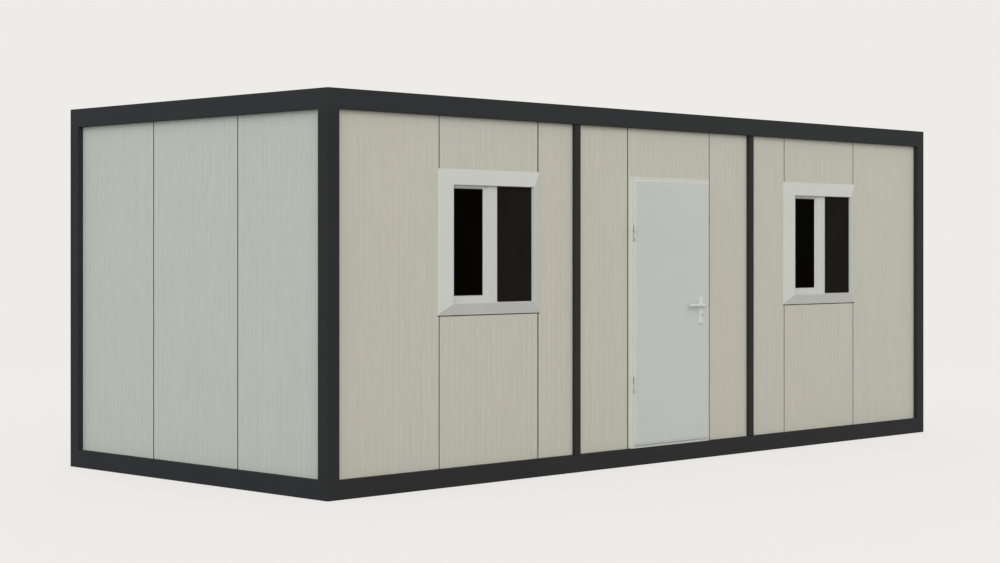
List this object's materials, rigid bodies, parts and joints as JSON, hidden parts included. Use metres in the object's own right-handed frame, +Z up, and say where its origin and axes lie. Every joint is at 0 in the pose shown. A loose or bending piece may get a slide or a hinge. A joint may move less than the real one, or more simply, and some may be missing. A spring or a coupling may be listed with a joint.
{
  "type": "portable site cabin",
  "caption": "Flat-topped portable site cabin: dark steel frame, pale sandwich panel walls, a central outward-opening door and sliding windows beside it.",
  "frame": {"origin": "centre of the footprint on the ground", "axes": "+X along the long front wall to the right as seen from outside, +Y from the front wall to the rear, +Z up"},
  "size_m": [7, 3.054, 2.7],
  "materials": {
    "frame_paint": "dark grey powder coat, satin",
    "panel_front": "warm grey-white coated steel skin with fine vertical ribs",
    "panel_end": "warm grey-white coated steel skin with fine vertical ribs",
    "window_plastic": "white window plastic",
    "glass": "clear glass over a dark room",
    "door_paint": "off-white powder coat",
    "hardware": "satin steel",
    "cylinder_brass": "satin brass",
    "floor_board": "sealed floor board",
    "inner_steel": "galvanised and primed steel",
    "lining": "white lining board",
    "roof_steel": "galvanised roofing sheet"
  },
  "bodies": {
    "cabin": {"base_rail_front": "frame_paint", "base_rail_left": "frame_paint", "base_rail_rear": "frame_paint", "base_rail_right": "frame_paint", "ceiling_lining": "lining", "corner_post_front_left": "frame_paint", "corner_post_front_right": "frame_paint", "corner_post_rear_left": "frame_paint", "corner_post_rear_right": "frame_paint", "door_frame": "door_paint", "door_hinges_frame_half": "door_paint", "door_threshold": "door_paint", "floor_deck": "floor_board", "floor_joists": "inner_steel", "front_door_side_strips": "panel_front", "front_panel_inner_left": "panel_front", "front_panel_inner_right": "panel_front", "front_panel_left": "panel_front", "front_panel_over_door": "panel_front", "front_panel_right": "panel_front", "front_panels_over_windows": "panel_front", "front_panels_under_windows": "panel_front", "intermediate_posts": "frame_paint", "left_end_panels": "panel_end", "rear_panels": "panel_front", "right_end_panels": "panel_end", "roof_purlins": "inner_steel", "roof_rail_front": "frame_paint", "roof_rail_left": "frame_paint", "roof_rail_rear": "frame_paint", "roof_rail_right": "frame_paint", "roof_sheet": "roof_steel", "window_left_frame": "window_plastic", "window_left_glass": "glass", "window_left_sash": "window_plastic", "window_left_trim": "window_plastic", "window_right_frame": "window_plastic", "window_right_glass": "glass", "window_right_sash": "window_plastic", "window_right_trim": "window_plastic"},
    "door_leaf": {"door_leaf": "door_paint", "door_hinges_leaf_half": "door_paint", "lock_backplates": "hardware", "lock_cylinder": "cylinder_brass"},
    "door_lever": {"door_levers": "hardware"}
  },
  "joints": [
    {"name": "door_hinge", "type": "hinge", "parent": "cabin", "child": "door_leaf", "pos_m": [-0.453, -1.501, 0], "axis": [0, 0, -1], "range_deg": [0, 105]},
    {"name": "lever_spindle", "type": "hinge", "parent": "door_leaf", "child": "door_lever", "pos_m": [0.337, -1.498, 1.204], "axis": [0, -1, 0], "range_deg": [0, 40], "stiffness_Nm_per_rad": 2, "springref_deg": -34.38}
  ]
}
